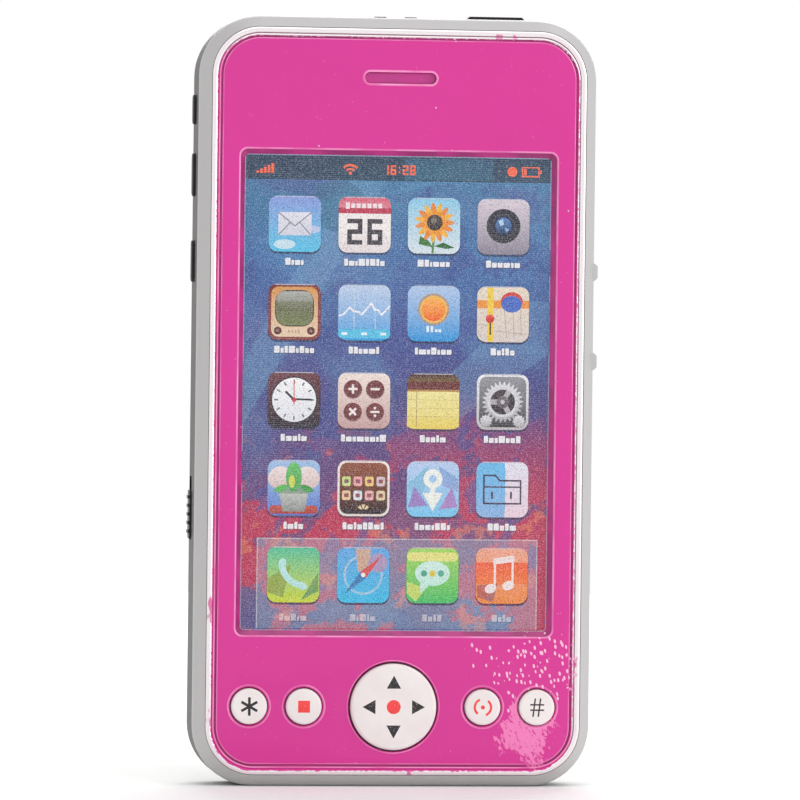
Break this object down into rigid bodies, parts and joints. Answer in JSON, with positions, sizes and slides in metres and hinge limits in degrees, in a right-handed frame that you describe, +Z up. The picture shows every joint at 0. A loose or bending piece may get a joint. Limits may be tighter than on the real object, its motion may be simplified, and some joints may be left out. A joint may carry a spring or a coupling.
{
  "type": "toy cell phone",
  "caption": "Toy touch-screen phone with a pink gloss faceplate, a bright plated rim, a lens picture of coloured icons and round white keys that play sounds.",
  "frame": {"origin": "middle of the bottom edge, in the middle of the overall depth, with the phone standing upright", "axes": "+Z up along the phone's length, +X to the right of someone who looks at its face, the face looks along -Y and the back along +Y"},
  "size_m": [0.0636, 0.014, 0.1207],
  "materials": {
    "silver_paint": "satin silver paint on moulded plastic",
    "pink_plate": "gloss pink paint over bright plating, which stays bare on the rim",
    "picture": "ribbed lens sheet over a printed picture",
    "tape": "double-sided foam tape",
    "white_keys": "satin white plastic with printed signs",
    "silicone": "translucent grey silicone",
    "carbon": "carbon-filled rubber",
    "board": "brown paper laminate with green solder mask",
    "steel": "bright zinc-plated steel",
    "resin": "black epoxy",
    "resistor": "ceramic chip with tinned ends",
    "can": "printed sleeve over an aluminium can",
    "led": "white lamp body with a yellow window",
    "black_plastic": "finely textured black plastic",
    "cell": "nickel-plated cell can",
    "contact": "nickel-plated spring steel",
    "foam": "black foam",
    "magnet": "bare magnet cup",
    "film": "clear film cone",
    "red_lead": "red PVC insulation",
    "black_lead": "black PVC insulation"
  },
  "bodies": {
    "phone": {"black_battery_lead": "black_lead", "black_speaker_lead": "black_lead", "board_screws": "steel", "button_cell_1": "cell", "button_cell_2": "cell", "button_cell_3": "cell", "capacitor": "can", "card_tape": "tape", "case_screws": "steel", "chip_resin": "resin", "circuit_board": "board", "faceplate": "pink_plate", "floor_contact": "contact", "front_case": "silver_paint", "keypad_mat": "silicone", "negative_contact": "contact", "picture_card": "picture", "positive_contact": "contact", "rear_cover": "black_plastic", "red_battery_lead": "red_lead", "red_speaker_lead": "red_lead", "resistors": "resistor", "screen_leds": "led", "speaker_cone": "film", "speaker_frame": "steel", "speaker_gasket": "foam", "speaker_magnet": "magnet", "switch_body": "steel"},
    "star_key": {"star_key": "white_keys", "star_plunger": "silicone", "star_contact_pill": "carbon"},
    "stop_key": {"stop_key": "white_keys", "stop_plunger": "silicone", "stop_contact_pill": "carbon"},
    "talk_key": {"talk_key": "white_keys", "talk_plunger": "silicone", "talk_contact_pill": "carbon"},
    "hash_key": {"hash_key": "white_keys", "hash_plunger": "silicone", "hash_contact_pill": "carbon"},
    "navigation_pill": {"navigation_contact_pill": "carbon"},
    "navigation_plunger": {"navigation_plunger": "silicone"},
    "navigation_key": {"navigation_key": "white_keys"},
    "power_switch": {"switch_knob": "black_plastic", "switch_lever": "black_plastic"},
    "battery_door": {"battery_door": "black_plastic", "door_screws": "steel", "door_contact": "contact"}
  },
  "joints": [
    {"name": "star_press", "type": "slide", "parent": "phone", "child": "star_key", "axis": [0, 1, 0], "range_m": [0, 0.0008], "stiffness_N_per_m": 1200},
    {"name": "stop_press", "type": "slide", "parent": "phone", "child": "stop_key", "axis": [0, 1, 0], "range_m": [0, 0.0008], "stiffness_N_per_m": 1200},
    {"name": "talk_press", "type": "slide", "parent": "phone", "child": "talk_key", "axis": [0, 1, 0], "range_m": [0, 0.0008], "stiffness_N_per_m": 1200},
    {"name": "hash_press", "type": "slide", "parent": "phone", "child": "hash_key", "axis": [0, 1, 0], "range_m": [0, 0.0008], "stiffness_N_per_m": 1200},
    {"name": "navigation_press", "type": "slide", "parent": "phone", "child": "navigation_pill", "axis": [0, 1, 0], "range_m": [0, 0.0008], "stiffness_N_per_m": 1500},
    {"name": "navigation_tilt", "type": "hinge", "parent": "navigation_pill", "child": "navigation_plunger", "pos_m": [0, -0.00248, 0.0125], "axis": [1, 0, 0], "range_deg": [-2.5, 2.5], "stiffness_Nm_per_rad": 0.1},
    {"name": "navigation_roll", "type": "hinge", "parent": "navigation_plunger", "child": "navigation_key", "pos_m": [0, -0.00383, 0.0125], "axis": [0, 0, 1], "range_deg": [-2.5, 2.5], "stiffness_Nm_per_rad": 0.1},
    {"name": "power_slide", "type": "slide", "parent": "phone", "child": "power_switch", "axis": [0, 0, 1], "range_m": [0, 0.002]},
    {"name": "battery_door_lift", "type": "slide", "parent": "phone", "child": "battery_door", "axis": [0, 1, 0], "range_m": [0, 0.025]}
  ]
}
